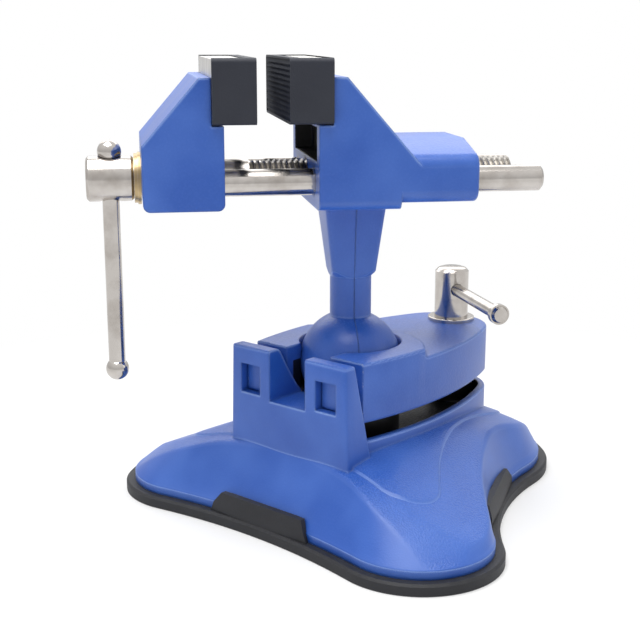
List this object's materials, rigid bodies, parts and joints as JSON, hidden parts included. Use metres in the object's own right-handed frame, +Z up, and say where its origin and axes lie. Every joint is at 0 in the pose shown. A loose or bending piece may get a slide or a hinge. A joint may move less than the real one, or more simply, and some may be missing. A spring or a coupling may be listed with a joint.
{
  "type": "suction base vise",
  "caption": "Small bench vise on a swivelling, tilting ball joint over a three-lobed suction base, with screw-driven sliding jaw and rubber jaw covers.",
  "frame": {"origin": "on the bench face under the ball joint's centre", "axes": "+Z up, +X along the lead screw from the moving jaw to the fixed jaw, +Y across the jaws away from the side shown"},
  "size_m": [0.1834, 0.1699, 0.1663],
  "materials": {
    "blue_paint": "hammered gloss blue enamel over cast metal",
    "black_rubber": "moulded black rubber, slightly dusty",
    "bright_nickel": "bright nickel plate",
    "plain_steel": "turned bare steel",
    "brass": "plain brass",
    "black_steel": "blackened spring steel",
    "grey_nylon": "plain moulded nylon"
  },
  "bodies": {
    "base": {"base_housing": "blue_paint", "suction_pad": "black_rubber", "lever_pin": "plain_steel"},
    "seat": {"ball_seat": "grey_nylon"},
    "head": {"vise_body": "blue_paint", "fixed_jaw_plate": "plain_steel", "fixed_jaw_cover": "black_rubber", "fixed_jaw_screws": "plain_steel"},
    "sliding_jaw": {"moving_jaw": "blue_paint", "guide_rod_front": "bright_nickel", "guide_rod_rear": "bright_nickel", "rod_pins": "plain_steel", "moving_jaw_plate": "plain_steel", "moving_jaw_cover": "black_rubber", "moving_jaw_screws": "plain_steel", "thrust_washer_inner": "brass", "thrust_washer_outer": "brass"},
    "screw": {"lead_screw": "plain_steel", "retaining_clip": "black_steel"},
    "handle": {"handle_rod": "bright_nickel", "handle_ball_upper": "bright_nickel", "handle_ball_lower": "bright_nickel"},
    "plate": {"clamp_plate": "blue_paint", "clamp_washer": "plain_steel"},
    "clamp": {"clamp_screw": "bright_nickel"},
    "bar": {"clamp_bar": "bright_nickel", "clamp_bar_cap_near": "bright_nickel", "clamp_bar_cap_far": "bright_nickel"},
    "lever": {"lift_lever": "plain_steel", "lift_nut": "plain_steel"},
    "stud": {"diaphragm_stud": "plain_steel", "stud_pin": "plain_steel", "suction_disc": "black_rubber"}
  },
  "joints": [
    {"name": "head_swivel", "type": "hinge", "parent": "base", "child": "seat", "pos_m": [0, 0, 0.055], "axis": [0, 0, 1], "continuous": true},
    {"name": "head_nod", "type": "hinge", "parent": "seat", "child": "head", "pos_m": [0, 0, 0.055], "axis": [0, 1, 0], "range_deg": [-20, 35]},
    {"name": "jaw_slide", "type": "slide", "parent": "head", "child": "sliding_jaw", "axis": [1, 0, 0], "range_m": [-0.057, 0.0106]},
    {"name": "screw_spin", "type": "hinge", "parent": "sliding_jaw", "child": "screw", "pos_m": [-0.0862, 0, 0.1244], "axis": [1, 0, 0], "range_deg": [-10260.5, 1908.5]},
    {"name": "handle_slide", "type": "slide", "parent": "screw", "child": "handle", "axis": [0, 0, 1], "range_m": [0, 0.0592]},
    {"name": "plate_tilt", "type": "hinge", "parent": "base", "child": "plate", "pos_m": [-0.025, -0.02076, 0.0514], "axis": [-0.6388, 0.7694, 0], "range_deg": [0, 0.3615]},
    {"name": "clamp_turn", "type": "hinge", "parent": "plate", "child": "clamp", "pos_m": [0.05001, 0.04152, 0.0591], "axis": [0, 0, -1], "range_deg": [0, 1081]},
    {"name": "bar_slide", "type": "slide", "parent": "clamp", "child": "bar", "axis": [-0.0837, 0.9965, 0], "range_m": [0, 0.0424]},
    {"name": "lever_lift", "type": "hinge", "parent": "base", "child": "lever", "pos_m": [-0.02, -0.01661, 0.015], "axis": [0.6388, -0.7694, 0], "range_deg": [0, 2.99]},
    {"name": "stud_lift", "type": "slide", "parent": "base", "child": "stud", "axis": [0, 0, 1], "range_m": [0, 0.00133]}
  ],
  "couplings": [
    {"joint": "screw_spin", "follows": "jaw_slide", "rad_per_m": 3141.6},
    {"joint": "plate_tilt", "follows": "stud_lift", "rad_per_m": 4.6558},
    {"joint": "lever_lift", "follows": "stud_lift", "rad_per_m": 38.462},
    {"joint": "clamp_turn", "follows": "stud_lift", "rad_per_m": 14188}
  ]
}
